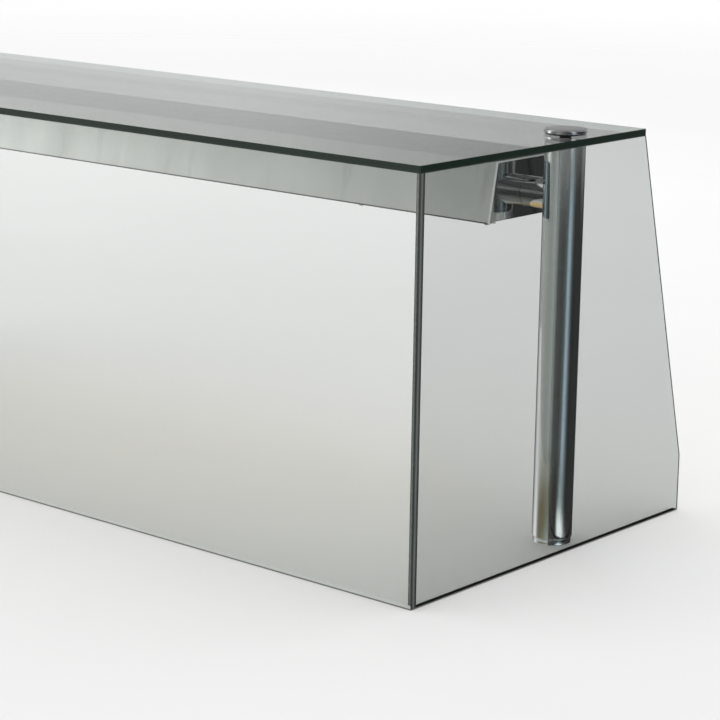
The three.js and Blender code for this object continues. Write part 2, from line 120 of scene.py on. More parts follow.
def turned_mesh(profile, centre, axis="z", segments=96, radius_at=None):
    """A bmesh of the (radius, height) profile turned about an axis through the centre.
    radius_at(radius, index, angle) may change the radius as it goes round."""
    bm = bmesh.new()
    rings = []
    for index, (radius, height) in enumerate(profile):
        count = 1 if radius < 1e-9 else segments
        ring = []
        for k in range(count):
            angle = 2 * math.pi * k / segments
            r = radius_at(radius, index, angle) if radius_at and count > 1 else radius
            a, b = r * math.cos(angle), r * math.sin(angle)
            local = Vector((a, b, height)) if axis == "z" else Vector((height, a, b))
            ring.append(bm.verts.new(local + Vector(centre)))
        rings.append(ring)
    for lower, upper in zip(rings, rings[1:]):
        for k in range(segments):
            n = (k + 1) % segments
            corners = [lower[k % len(lower)], lower[n % len(lower)]]
            corners += [upper[n % len(upper)], upper[k % len(upper)]]
            unique = list(dict.fromkeys(corners))
            if len(unique) > 2:
                bm.faces.new(unique)
    return bm


def turned(name, profile, centre, material, axis="z", segments=96, sharp=30):
    bm = turned_mesh(profile, centre, axis, segments)
    return finish_mesh(bm, name, [material], sharp)


def ring_profile(inner, outer, low, high, edge=0.3 * MM):
    """A washer's closed section with softened corners."""
    corners = [(inner, low), (outer, low), (outer, high), (inner, high)]
    path = rounded(corners, edge, closed=True, steps=3)
    return path + path[:1]


def slab(name, outline, holes, way, materials, edge_of, arris=0.7 * MM):
    """A pane: the outline, with holes, pushed along way. edge_of(normal) gives each face's material index."""
    bm = bmesh.new()
    edges = []
    for loop in [outline, *holes]:
        verts = [bm.verts.new(p) for p in loop]
        edges += [bm.edges.new((a, b)) for a, b in zip(verts, verts[1:] + verts[:1])]
    filled = bmesh.ops.triangle_fill(bm, use_beauty=True, use_dissolve=False, edges=edges)
    faces = [g for g in filled["geom"] if isinstance(g, bmesh.types.BMFace)]
    pushed = bmesh.ops.extrude_face_region(bm, geom=faces)
    moved = [g for g in pushed["geom"] if isinstance(g, bmesh.types.BMVert)]
    bmesh.ops.translate(bm, vec=way, verts=moved)
    bmesh.ops.recalc_face_normals(bm, faces=bm.faces)
    for face in bm.faces:
        face.material_index = edge_of(face.normal)
    pane = finish_mesh(bm, name, materials, sharp=20)
    bevel = pane.modifiers.new("arris", "BEVEL")
    bevel.width = arris
    bevel.segments = 2
    bevel.limit_method = "ANGLE"
    bevel.angle_limit = math.radians(40)
    bevel.material = len(materials) - 1
    return pane


def soften(node, width, segments=2, angle=30):
    """Rounds a carried-over CAD node's edges."""
    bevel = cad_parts[node].modifiers.new("edges", "BEVEL")
    bevel.width = width
    bevel.segments = segments
    bevel.limit_method = "ANGLE"
    bevel.angle_limit = math.radians(angle)
    bevel.use_clamp_overlap = True


def dress(node, look):
    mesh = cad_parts[node].data
    mesh.materials.clear()
    mesh.materials.append(look)


# ---------------------------------------------------------------- shader tools


class Tree:
    """A node tree with one short call for a node: plain values go on its sockets, sockets are linked."""

    def __init__(self, owner):
        owner.use_nodes = True
        self.nodes = owner.node_tree.nodes
        self.links = owner.node_tree.links
        self.nodes.clear()

    def add(self, kind, inputs=None, **settings):
        node = self.nodes.new(kind)
        for key, value in settings.items():
            setattr(node, key, value)
        for key, value in (inputs or {}).items():
            if isinstance(value, bpy.types.NodeSocket):
                self.links.new(value, node.inputs[key])
            else:
                node.inputs[key].default_value = value
        return node

    def maths(self, operation, a, b=None):
        node = self.add("ShaderNodeMath", operation=operation)
        for key, value in ((0, a), (1, b)):
            if isinstance(value, bpy.types.NodeSocket):
                self.links.new(value, node.inputs[key])
            elif value is not None:
                node.inputs[key].default_value = value
        return node.outputs[0]

    def coords(self):
        return self.add("ShaderNodeTexCoord").outputs["Object"]

    def coord(self, axis):
        return self.add("ShaderNodeSeparateXYZ", {0: self.coords()}).outputs[axis]

    def noise(self, scale, stretch=(1, 1, 1), detail=4.0, roughness=0.55):
        mapped = self.add("ShaderNodeMapping", {"Vector": self.coords(), "Scale": stretch}).outputs[0]
        inputs = {"Vector": mapped, "Scale": scale, "Detail": detail, "Roughness": roughness}
        return self.add("ShaderNodeTexNoise", inputs).outputs["Fac"]

    def span(self, value, low, high, start=0.0, end=1.0):
        """Turns start to end into low to high, and stops at both."""
        inputs = {"Value": value, "From Min": start, "From Max": end, "To Min": low, "To Max": high}
        return self.add("ShaderNodeMapRange", inputs).outputs[0]

    def ramp(self, value, stops):
        node = self.add("ShaderNodeValToRGB", {"Fac": value})
        ramp = node.color_ramp
        while len(ramp.elements) < len(stops):
            ramp.elements.new(1.0)
        while len(ramp.elements) > len(stops):
            ramp.elements.remove(ramp.elements[-1])
        for element, (position, colour) in zip(ramp.elements, stops):
            element.position = position
            element.color = (*colour, 1)
        return node.outputs["Color"]

    def blend(self, factor, a, b, kind="MIX"):
        """Mixes two colours. Sockets 0, 6 and 7 are the node's factor and its two colour inputs."""
        inputs = {0: factor, 6: a, 7: b}
        return self.add("ShaderNodeMix", inputs, data_type="RGBA", blend_type=kind).outputs[2]

    def bump(self, height, strength, distance, over=None):
        """A bump from the height, and over a coarser one if that is given."""
        inputs = {"Height": height, "Strength": strength, "Distance": distance, **(over or {})}
        return self.add("ShaderNodeBump", inputs).outputs["Normal"]

    def end(self, surface):
        self.add("ShaderNodeOutputMaterial", {"Surface": surface})


def grey(value):
    return (value, value, value)


def material(name):
    made = bpy.data.materials.new(name)
    return made, Tree(made)


def principled(tree, inputs):
    tree.end(tree.add("ShaderNodeBsdfPrincipled", inputs).outputs[0])


# ---------------------------------------------------------------- materials


def see_through(name, tint, smudge=0.02):
    """Clear sheet: what lies behind shows through the tint, and more is mirrored at a glancing angle."""
    made, tree = material(name)
    mirror, mirrored_head_on = (0.97, 0.99, 0.98), 0.04
    facing = tree.add("ShaderNodeLayerWeight", {"Blend": 0.5}).outputs["Facing"]
    glancing = tree.maths("POWER", facing, 5.0)
    share = tree.span(glancing, mirrored_head_on, 1.0)
    smear = tree.noise(9.0, (1, 1, 0.5), detail=5.0, roughness=0.6)
    roughness = tree.span(smear, 0.0, smudge, 0.45, 0.75)
    clear = tree.add("ShaderNodeBsdfTransparent", {"Color": (*tint, 1)})
    gloss = tree.add("ShaderNodeBsdfGlossy", {"Color": (*mirror, 1), "Roughness": roughness})
    mix = tree.add("ShaderNodeMixShader", {0: share, 1: clear.outputs[0], 2: gloss.outputs[0]})
    tree.end(mix.outputs[0])
    return made


def glass_edge(name, bands, across="Z", low=0.0, high=1.0, inside=(0.8, 0.85, 0.83), frost=0.0):
    """Polished edge of float glass, banded across its thickness between two places on one axis. From within
    the pane it lets the light by, as far as it isn't frosted. Inside is one colour, or bands too."""
    made, tree = material(name)
    wander = tree.span(tree.noise(25.0, detail=2.0), -0.04, 0.04)
    share = tree.maths("ADD", tree.span(tree.coord(across), 0.0, 1.0, low, high), wander)
    cloud = tree.ramp(tree.noise(9.0, detail=3.0), [(0.3, grey(0.8)), (0.62, grey(1.0))])
    lines = tree.noise(900.0, (0.02, 0.02, 1.0), detail=2.0)
    inputs = {
        "Base Color": tree.blend(1.0, tree.ramp(share, bands), cloud, "MULTIPLY"),
        "Roughness": tree.span(lines, 0.12, 0.26, 0.3, 0.7),
        "IOR": 1.45,
        "Normal": tree.bump(lines, 0.08, 0.02 * MM),
    }
    outer = tree.add("ShaderNodeBsdfPrincipled", inputs)
    within = tree.ramp(share, inside) if isinstance(inside, list) else (*inside, 1)
    clear = tree.add("ShaderNodeBsdfTransparent", {"Color": within})
    if frost:
        ground_side = tree.add("ShaderNodeBsdfDiffuse", {"Color": within})
        clear = tree.add("ShaderNodeMixShader", {0: frost, 1: clear.outputs[0], 2: ground_side.outputs[0]})
    back = tree.add("ShaderNodeNewGeometry").outputs["Backfacing"]
    mix = tree.add("ShaderNodeMixShader", {0: back, 1: outer.outputs[0], 2: clear.outputs[0]})
    tree.end(mix.outputs[0])
    return made


def steel(name, colour, rough_low, rough_high, grain, grain_depth, cloud_scale=6.0):
    """Stainless steel: hairlines along the direction in which grain is small, and cloudy gloss."""
    made, tree = material(name)
    hair = tree.noise(1.0, grain, detail=3.0, roughness=0.7)
    cloud = tree.noise(cloud_scale, (1, 1, 1), detail=5.0, roughness=0.6)
    blend = tree.maths("ADD", tree.maths("MULTIPLY", hair, 0.5), tree.maths("MULTIPLY", cloud, 0.5))
    darker = tuple(c * 0.93 for c in colour)
    inputs = {
        "Base Color": tree.ramp(blend, [(0.35, darker), (0.65, colour)]),
        "Metallic": 1.0,
        "Roughness": tree.span(blend, rough_low, rough_high, 0.35, 0.65),
        "Normal": tree.bump(hair, 0.35, grain_depth),
    }
    principled(tree, inputs)
    return made


def satin_sheet(name, colour, fold, end):
    """Brushed stainless sheet: grain along X, soft wipe marks, slight waves left by the folding, a painted
    shade line just above the fold height, and ground corners where the sheet ends, painted white and not
    metallic as a painted highlight."""
    made, tree = material(name)
    grain = tree.noise(1.0, (5, 1300, 1300), detail=3.0, roughness=0.7)
    wipes = tree.noise(1.0, (13, 13, 5), detail=5.0, roughness=0.65)
    waves = tree.noise(1.0, (7, 7, 3), detail=1.0)
    # Partly painted highlight: the ground end faces and corners turn white and not metallic, so they show as a
    # bright line.
    geometry = tree.add("ShaderNodeNewGeometry").outputs
    across = tree.add("ShaderNodeSeparateXYZ", {0: geometry["True Normal"]}).outputs["X"]
    end_face = tree.span(tree.maths("ABSOLUTE", across), 0.0, 1.0, 0.3, 0.5)
    inset = tree.span(tree.maths("ABSOLUTE", tree.coord("X")), 0.0, 1.0, end - 2.6 * MM, end - 1.8 * MM)
    rim = tree.maths("MAXIMUM", end_face, inset)
    lean, stretch = (0, 0.5, 0), (38, 38, 2.5)
    leaning = tree.add("ShaderNodeMapping", {"Vector": tree.coords(), "Rotation": lean, "Scale": stretch})
    streaks = tree.add("ShaderNodeTexNoise", {"Vector": leaning.outputs[0], "Scale": 1.0, "Detail": 4.0})
    # Painted shade: a darker line just above the fold height, for the shade under the hood's bottom edge.
    above_fold = tree.span(tree.coord("Z"), 0.0, 1.0, fold, fold + 3 * MM)
    line = tree.ramp(above_fold, [(0.45, grey(0.25)), (0.7, grey(1.0))])
    darker = tuple(c * 0.93 for c in colour)
    smears = [(0.34, grey(0.86)), (0.42, grey(0.95)), (0.62, grey(0.95)), (0.70, grey(1.0))]
    smeared = tree.ramp(streaks.outputs["Fac"], smears)
    brushed = tree.blend(1.0, tree.ramp(wipes, [(0.36, darker), (0.6, colour)]), smeared, "MULTIPLY")
    shaded_at_fold = tree.blend(1.0, brushed, line, "MULTIPLY")
    wiped = tree.span(wipes, 0.35, 0.30, 0.35, 0.65)
    slow = tree.bump(waves, 0.5, 0.16 * MM)
    inputs = {
        "Base Color": tree.blend(rim, shaded_at_fold, (1.0, 1.0, 1.0, 1)),
        "Metallic": tree.span(rim, 1.0, 0.0),
        "Roughness": tree.maths("ADD", wiped, tree.maths("MULTIPLY", rim, 0.1)),
        "Normal": tree.bump(grain, 0.3, 0.008 * MM, {"Normal": slow}),
    }
    principled(tree, inputs)
    return made


def plastic(name, colour, roughness, bump=0.02 * MM, scale=500.0):
    """Moulded plastic, rubber or enamel with a fine uneven skin."""
    made, tree = material(name)
    skin = tree.noise(scale, (1, 1, 1), detail=3.0)
    cloud = tree.noise(12.0, (1, 1, 1), detail=4.0)
    darker = tuple(c * 0.88 for c in colour)
    inputs = {
        "Base Color": tree.ramp(cloud, [(0.3, darker), (0.7, colour)]),
        "Roughness": tree.span(cloud, roughness * 0.85, roughness * 1.15, 0.3, 0.7),
        "Normal": tree.bump(skin, 0.4, bump),
    }
    principled(tree, inputs)
    return made


def film(name):
    """Adhesive film in the upright corners, with painted refraction: dark at its free edge and along the end
    pane, paler between.
    """
    made, tree = material(name)
    along = tree.maths("ABSOLUTE", tree.coord("X"))
    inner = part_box("end_glass_right")[0].x - CORNER_FILM
    share = tree.span(along, 0.0, 1.0, inner, inner + 8 * MM)
    wander = tree.span(tree.noise(30.0, detail=2.0), -0.02, 0.02)
    # Painted refraction: the dark and pale bands stand in for the lines the glass corner shows by refraction.
    bands = [(0.0, grey(0.05)), (0.16, grey(0.06)), (0.26, (0.17, 0.19, 0.18)), (0.40, (0.17, 0.19, 0.18))]
    bands += [(0.50, grey(0.05)), (1.0, grey(0.05))]
    inputs = {
        "Base Color": tree.ramp(tree.maths("ADD", share, wander), bands),
        "Roughness": tree.span(tree.noise(200.0), 0.2, 0.32, 0.3, 0.7),
    }
    principled(tree, inputs)
    return made


def lit_tube(name, strength):
    """Warm white phosphor, greyer close to the electrodes at both ends."""
    made, tree = material(name)
    half = size_of("lamp_tube").x / 2
    share = tree.maths("DIVIDE", tree.maths("ABSOLUTE", tree.coord("X")), half)
    warm, end = (1.0, 0.74, 0.42), (0.55, 0.36, 0.18)
    glow = tree.ramp(share, [(0.0, warm), (0.945, warm), (0.985, end), (1.0, (0.2, 0.13, 0.08))])
    inputs = {
        "Base Color": (0.9, 0.88, 0.82, 1),
        "Roughness": tree.span(tree.noise(60.0), 0.25, 0.35),
        "Emission Color": glow,
        "Emission Strength": strength,
    }
    principled(tree, inputs)
    return made


# One glass in three copies: the end panes' and the top pane's darker tints are painted shade.
front_clear = see_through("glass_front", (0.872, 0.880, 0.876))
end_clear_shaded = see_through("glass_end_shaded", (0.815, 0.827, 0.823))
top_clear_shaded = see_through("glass_top_shaded", (0.825, 0.835, 0.830))
sleeve_clear = see_through("sleeve_clear", (0.96, 0.97, 0.965), smudge=0.08)
DEEP_GREEN = [(0.0, (0.013, 0.024, 0.018)), (0.5, (0.008, 0.018, 0.013)), (1.0, (0.012, 0.024, 0.017))]
# Painted refraction: dark at both faces and pale in the middle, for what the glass refracts and mirrors inside
# its edge.
EDGE_PAINTED_REFRACTION = [
    (0.0, (0.028, 0.032, 0.03)),
    (0.12, (0.03, 0.034, 0.032)),
    (0.34, (0.10, 0.11, 0.105)),
    (0.5, (0.155, 0.167, 0.16)),
    (0.62, (0.11, 0.12, 0.115)),
    (0.8, (0.055, 0.06, 0.057)),
    (1.0, (0.06, 0.065, 0.062)),
]
REAR_EDGE = [(0.0, (0.09, 0.10, 0.095)), (0.45, (0.03, 0.035, 0.033)), (0.8, (0.035, 0.04, 0.038))]
REAR_EDGE_FROM_WITHIN = [(0.0, (0.78, 0.80, 0.79)), (0.72, (0.76, 0.78, 0.77)), (0.80, (0.10, 0.11, 0.105))]
front_faces_y = [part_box("front_glass")[i].y for i in (0, 1)]
edge_deep = glass_edge("glass_edge_deep", DEEP_GREEN, "Z", *[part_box("top_glass")[i].z for i in (0, 1)])
edge_painted_refraction = glass_edge("glass_edge_banded", EDGE_PAINTED_REFRACTION, "Y", *front_faces_y)
ARRIS = [(0.0, (0.03, 0.036, 0.034))]
arris_pale = glass_edge("glass_arris", ARRIS, inside=(0.86, 0.89, 0.87), frost=0.9)
polished = steel("polished_steel", (0.75, 0.76, 0.76), 0.07, 0.11, (60, 60, 1400), 0.002 * MM)
cap_polish = steel("cap_polish", (0.62, 0.63, 0.645), 0.07, 0.11, (700, 700, 700), 0.001 * MM)
# The cap's top and sides are one steel: the sides' darker copy is painted shade.
cap_side_shade = steel("cap_side_shade", (0.30, 0.30, 0.31), 0.07, 0.11, (700, 700, 700), 0.001 * MM)
mirror_plate = steel("mirror_plate", (0.68, 0.69, 0.69), 0.03, 0.06, (60, 60, 900), 0.001 * MM)
hood_low, hood_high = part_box("canopy_hood")
satin = satin_sheet("satin_steel", (0.78, 0.785, 0.77), hood_low.z, hood_high.x)
plain = steel("plain_steel", (0.55, 0.56, 0.57), 0.32, 0.46, (400, 400, 400), 0.01 * MM, 40.0)
aluminium = steel("cap_aluminium", (0.74, 0.75, 0.76), 0.28, 0.38, (1200, 40, 40), 0.01 * MM, 40.0)
brass = steel("pin_brass", (0.72, 0.52, 0.24), 0.22, 0.34, (900, 60, 60), 0.005 * MM, 80.0)
silicone = plastic("silicone", (0.20, 0.198, 0.19), 0.34)
adhesive = plastic("adhesive", (0.07, 0.08, 0.076), 0.25)
corner_film = film("corner_film")
nylon = plastic("nylon", (0.018, 0.018, 0.02), 0.42)
enamel = plastic("enamel", (0.86, 0.855, 0.82), 0.32, 0.01 * MM, 220.0)
moulding = plastic("moulding", (0.80, 0.79, 0.75), 0.42)
bakelite = plastic("bakelite", (0.62, 0.60, 0.54), 0.5)
sheath = plastic("sheath", (0.03, 0.03, 0.032), 0.5)
phosphor = lit_tube("phosphor", 2.4)


# ---------------------------------------------------------------- camera


def make_camera():
    """The view from the customer's right, slightly above the top glass."""
    place_m = Vector((2.3863, -2.3077, 0.9013))
    yaw, pitch, roll = (math.radians(a) for a in (40.203, 13.146, 0.902))
    ahead = Vector((-math.sin(yaw) * math.cos(pitch), math.cos(yaw) * math.cos(pitch), -math.sin(pitch)))
    level = Vector((math.cos(yaw), math.sin(yaw), 0))
    upright = level.cross(ahead)
    right = math.cos(roll) * level + math.sin(roll) * upright
    up = -math.sin(roll) * level + math.cos(roll) * upright
    turn = Matrix((right, up, -ahead)).transposed()
    data = bpy.data.cameras.new("camera")
    data.lens = 120.75
    data.sensor_width = 36
    data.clip_end = 100
    camera = bpy.data.objects.new("camera", data)
    camera.matrix_world = Matrix.Translation(place_m) @ turn.to_4x4()
    bpy.context.scene.collection.objects.link(camera)
    bpy.context.scene.camera = camera


# ---------------------------------------------------------------- glass


def circle(centre, radius, z, count=48):
    turns = [2 * math.pi / count * k for k in range(count)]
    return [(centre.x + radius * math.cos(t), centre.y + radius * math.sin(t), z) for t in turns]


def make_top_glass():
    low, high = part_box("top_glass")
    corners = [(low.x, low.y), (high.x, low.y), (high.x, high.y), (low.x, high.y)]
    outline = [(x, y, low.z) for x, y in rounded(corners, 2 * MM, closed=True, steps=4)]
    holes = [circle(centre_of(f"post_tube_{side}"), POST_HOLE, low.z) for side in SIDES]
    pane = slab(
        "top_pane",
        outline,
        holes,
        Vector((0, 0, high.z - low.z)),
        [top_clear_shaded, edge_deep],
        lambda normal: 0 if abs(normal.z) > 0.9 else 1,
    )
    place(pane, replaces=["top_glass"])


def make_front_glass():
    low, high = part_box("front_glass")
    outline = [(low.x, low.y, low.z), (high.x, low.y, low.z), (high.x, low.y, high.z), (low.x, low.y, high.z)]

    def kind(normal):
        if abs(normal.y) > 0.9:
            return 0
        return 1 if abs(normal.x) > 0.9 else 2

    looks = [front_clear, edge_painted_refraction, arris_pale]
    pane = slab("front_pane", outline, [], Vector((0, high.y - low.y, 0)), looks, kind)
    place(pane, replaces=["front_glass"])


def make_end_glass(side, way):
    """An end pane: the rim of its rear edge that lies to the outside shows as a dark line."""
    node = f"end_glass_{side}"
    low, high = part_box(node)
    near, far = (low.x, high.x) if way > 0 else (high.x, low.x)
    rim = glass_edge(f"glass_edge_{side}", REAR_EDGE, "X", near, far, REAR_EDGE_FROM_WITHIN)
    top_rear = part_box("top_glass")[1].y
    outline = [(low.y, low.z), (high.y, low.z), (high.y, HEEL), (top_rear, high.z), (low.y, high.z)]
    loop = [(low.x, y, z) for y, z in outline]

    def kind(normal):
        if abs(normal.x) > 0.9:
            return 0
        return 1 if abs(normal.y) > 0.9 else 2

    pane = slab(f"end_pane_{side}", loop, [], Vector((high.x - low.x, 0, 0)), [end_clear_shaded, rim, rim], kind)
    place(pane, replaces=[node])


def strip(name, low, high, look):
    """A thin straight bead of adhesive or sealant between two corners."""
    bm = bmesh.new()
    bmesh.ops.create_cube(bm, size=1)
    size = Vector(high) - Vector(low)
    for vert in bm.verts:
        vert.co = Vector(low) + Vector([(c + 0.5) * s for c, s in zip(vert.co, size)])
    bmesh.ops.bevel(bm, geom=bm.edges[:], offset=min(size) * 0.2, segments=2, affect="EDGES", profile=0.5)
    place(finish_mesh(bm, name, [look]))


def make_bonds():
    """Adhesive lines between the panes."""
    top_low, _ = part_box("top_glass")
    front_low, front_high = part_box("front_glass")
    skin = 0.02 * MM
    inset = 0.6 * MM
    joint_low, joint_high = front_high.z + skin, top_low.z - skin
    strip(
        "bond_front",
        (front_low.x + inset, front_low.y + inset, joint_low),
        (front_high.x - inset, front_high.y - inset, joint_high),
        adhesive,
    )
    for side, way in SIDES.items():
        low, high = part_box(f"end_glass_{side}")
        x0, x1 = low.x + inset, high.x - inset
        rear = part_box("top_glass")[1].y - inset
        strip(f"bond_top_{side}", (x0, low.y, joint_low), (x1, rear, joint_high), adhesive)
        y0, y1 = front_high.y + skin, low.y - skin
        if way > 0:
            x0 -= CORNER_FILM
        else:
            x1 += CORNER_FILM
        strip(f"bond_corner_{side}", (x0, y0, low.z + inset), (x1, y1, high.z - inset), corner_film)


def make_seals():
    for node in ("front_seal", "end_seal_right", "end_seal_left"):
        dress(node, silicone)
        soften(node, 0.6 * MM)


# ---------------------------------------------------------------- posts


def make_post(side):
    centre = centre_of(f"post_tube_{side}")
    axis = (centre.x, centre.y, 0)
    make_post_tube(side, axis)
    make_post_base(side, axis)
    make_post_head(side, axis)


def make_post_tube(side, axis):
    node = f"post_tube_{side}"
    low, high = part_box(node)
    radius, wall, chamfer = size_of(node).x / 2, 2 * MM, 1 * MM
    section = [
        (radius - wall, low.z),
        (radius - chamfer, low.z),
        (radius, low.z + chamfer),
        (radius, high.z),
        (radius - wall, high.z),
    ]
    path = rounded(section, 0.3 * MM, closed=True, steps=3)
    piece = turned(f"post_{side}", path + path[:1], axis, polished, segments=160)
    place(piece, replaces=[node])


def make_post_base(side, axis):
    node = f"post_base_{side}"
    low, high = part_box(node)
    radius = size_of(node).x / 2
    spigot, neck = radius - 1 * MM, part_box(f"post_tube_{side}")[0].z - GAP
    section = [(FOOT_BORE, low.z), (radius, low.z), (radius, neck)]
    section += [(spigot, neck), (spigot, high.z), (FOOT_BORE, high.z)]
    path = rounded(section, 0.35 * MM, closed=True, steps=3)
    piece = turned(f"foot_{side}", path + path[:1], axis, polished, segments=128)
    place(piece, replaces=[node])


def make_post_head(side, axis):
    cap = f"post_cap_{side}"
    low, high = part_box(cap)
    radius, thick, shank = size_of(cap).x / 2, 4.5 * MM, 4 * MM
    round_over, chamfer = 1.6 * MM, 0.4 * MM
    under, steps = high.z - thick, 8
    edge = []
    for k in range(steps + 1):
        angle = math.pi / 2 * k / steps
        inward, lower = round_over * (1 - math.cos(angle)), round_over * (1 - math.sin(angle))
        edge.append((radius - inward, high.z - lower))
    section = [(0, low.z), (shank, low.z), (shank, under)]
    section += [(radius - chamfer, under), (radius, under + chamfer)]
    piece = turned(f"cap_{side}", section + edge + [(0, high.z)], axis, cap_polish, segments=128)
    piece.data.materials.append(cap_side_shade)
    # The cap's upright faces get the darker copy: painted shade.
    for face in piece.data.polygons:
        if abs(face.normal.z) < 0.3:
            face.material_index = 1
    place(piece, replaces=[cap])
    looks = {"cap_washer": nylon, "glass_gasket": nylon, "glass_bush": nylon, "post_plug": plain}
    for kind, look in looks.items():
        node = f"{kind}_{side}"
        node_low, node_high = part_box(node)
        outline = ring_profile(SHANK_BORE, size_of(node).x / 2, node_low.z, node_high.z)
        made = turned(f"{kind}_ring_{side}", outline, axis, look)
        place(made, replaces=[node])


# ---------------------------------------------------------------- arms


def make_stub(side, way):
    """The arm between canopy and post: its far end is a saddle that fits the post."""
    node = f"stub_{side}"
    low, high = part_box(node)
    post = centre_of(f"post_tube_{side}")
    centre = centre_of(node)
    face = low.x if way > 0 else high.x
    radius, bore, chamfer = size_of(node).z / 2, 5 * MM, 0.5 * MM
    saddle = size_of(f"post_tube_{side}").x / 2 + GAP
    to_post = abs(post.x - face)
    stations = [(bore, 0), (radius - chamfer, 0), (radius, chamfer), (radius, None), (bore, None)]
    segments = 128
    bm = bmesh.new()
    rings = []
    for reach, along in stations:
        ring = []
        for k in range(segments):
            angle = 2 * math.pi * k / segments
            y, z = reach * math.cos(angle), reach * math.sin(angle)
            x = to_post - math.sqrt(saddle**2 - y**2) if along is None else along
            ring.append(bm.verts.new((face + way * x, post.y + y, centre.z + z)))
        rings.append(ring)
    rings.append(rings[0])
    for a, b in zip(rings, rings[1:]):
        for k in range(segments):
            n = (k + 1) % segments
            bm.faces.new((a[k], a[n], b[n], b[k]))
    piece = finish_mesh(bm, f"arm_{side}", [polished], 35)
    place(piece, replaces=[node])


def make_arms():
    for side, way in SIDES.items():
        make_stub(side, way)
        for node in (f"canopy_bolt_{side}", f"canopy_washer_{side}"):
            dress(node, plain)
            soften(node, 0.4 * MM)


# ---------------------------------------------------------------- canopy and lamp gear


def make_canopy():
    dress("canopy_hood", satin)
    soften("canopy_hood", 0.5 * MM, 3, 35)
    for side in SIDES:
        dress(f"canopy_end_{side}", mirror_plate)
        soften(f"canopy_end_{side}", 0.35 * MM, 2, 35)
    dress("reflector", enamel)
    soften("reflector", 0.4 * MM, 2, 25)


def hex_radius(across_flats, angle):
    """Distance from a hexagon's centre to its side at the angle."""
    sector = math.pi / 3
    return across_flats / 2 / math.cos((angle % sector) - sector / 2)


def make_screw(node):
    """A socket button screw, pointing up, in the place of a CAD screw."""
    low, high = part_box(node)
    centre = centre_of(node)
    radius, head, shank, point = size_of(node).x / 2, 2.4 * MM, 2 * MM, 0.6 * MM
    socket_depth, socket = 1.4 * MM, 1.4 * MM
    seat = low.z + head
    dome = [(radius * math.sin(a), seat - head * math.cos(a)) for a in (0.75, 1.0, 1.25, math.pi / 2)]
    section = [
        (0, low.z + socket_depth),
        (socket, low.z + socket_depth),
        (socket, low.z + 0.15 * MM),
        (socket + 0.25 * MM, low.z),
        (radius * 0.55, low.z + 0.1 * MM),
        *dome,
        (shank, seat),
        (shank, high.z - point),
        (shank - point, high.z),
        (0, high.z),
    ]

    def shape(base, index, angle):
        return hex_radius(base * 2, angle) if index in (1, 2) else base

    bm = turned_mesh(section, (centre.x, centre.y, 0), "z", 48, shape)
    place(finish_mesh(bm, node.replace("screw", "fixing"), [plain], 25), replaces=[node])


def make_screws():
    names = [f"{kind}_screw_{i}" for kind in ("end", "reflector") for i in range(1, 5)]
    for node in names + ["ballast_screw_left", "ballast_screw_right"]:
        make_screw(node)


def make_gear():
    dress("ballast", enamel)
    soften("ballast", 0.6 * MM)
    dress("terminal_block", moulding)
    soften("terminal_block", 0.3 * MM)
    for node in ("lead_left", "lead_right", "lead_mains"):
        dress(node, sheath)
    for side in SIDES:
        dress(f"lampholder_{side}", moulding)
        soften(f"lampholder_{side}", 0.5 * MM, 2, 35)
        dress(f"rotor_{side}", moulding)
        soften(f"rotor_{side}", 0.3 * MM, 2, 35)


def make_lamp():
    centre = centre_of("lamp_tube")
    axis = (0, centre.y, centre.z)
    for node, wall, look, slot, name in (
        ("lamp_tube", 0.8 * MM, phosphor, "lamp_glass", "tube"),
        ("lamp_sleeve", 0.6 * MM, sleeve_clear, "clear_sleeve", "sleeve"),
    ):
        low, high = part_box(node)
        radius = size_of(node).y / 2
        outline = ring_profile(radius - wall, radius, low.x, high.x, 0.2 * MM)
        place(turned(name, outline, axis, look, "x", 64), LAMP, [node])
    for side, way in SIDES.items():
        make_lamp_cap(side, way, axis)


def make_lamp_cap(side, way, axis):
    """A two-pin cap: a shell with a rolled groove, the insulating plate in its end, and the pins."""
    node = f"lamp_cap_{side}"
    low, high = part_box(node)
    pin_length, pin_radius, pin_spacing = 7.1 * MM, 1.17 * MM, 12.7 * MM
    radius, bore, mouth = size_of(node).z / 2, 12.5 * MM, 10 * MM
    plate_radius, plate_depth = 9.8 * MM, 2.2 * MM
    outer = (high.x if way > 0 else low.x) - way * pin_length
    inner = low.x if way > 0 else high.x
    groove = radius - 0.25 * MM
    shell = [
        (bore, inner),
        (radius, inner),
        (radius, inner + way * 2 * MM),
        (groove, inner + way * 2.6 * MM),
        (groove, inner + way * 3.6 * MM),
        (radius, inner + way * 4.2 * MM),
        (radius, outer - way * 1.2 * MM),
        (radius - 1.2 * MM, outer),
        (mouth, outer),
        (mouth, outer - way * plate_depth),
        (bore, outer - way * 2.4 * MM),
    ]
    path = rounded(shell, 0.2 * MM, closed=True, steps=2)
    place(turned(f"cap_shell_{side}", path + path[:1], axis, aluminium, "x", 64), LAMP, [node])
    back, front = outer - way * plate_depth, outer - way * 0.05 * MM
    plate = [(0, back), (plate_radius, back), (plate_radius, outer - way * 0.3 * MM)]
    plate += [(plate_radius - 0.4 * MM, front), (0, front)]
    place(turned(f"cap_plate_{side}", plate, axis, bakelite, "x", 64), LAMP)
    root, tip = outer - way * 1 * MM, outer + way * pin_length
    pin = [(0, root), (pin_radius, root), (pin_radius, tip - way * 0.6 * MM), (0.7 * MM, tip), (0, tip)]
    for name, offset in (("a", -1), ("b", 1)):
        pin_axis = (0, axis[1] + offset * pin_spacing / 2, axis[2])
        place(turned(f"pin_{name}_{side}", pin, pin_axis, brass, "x", 24), LAMP)


# ---------------------------------------------------------------- studio


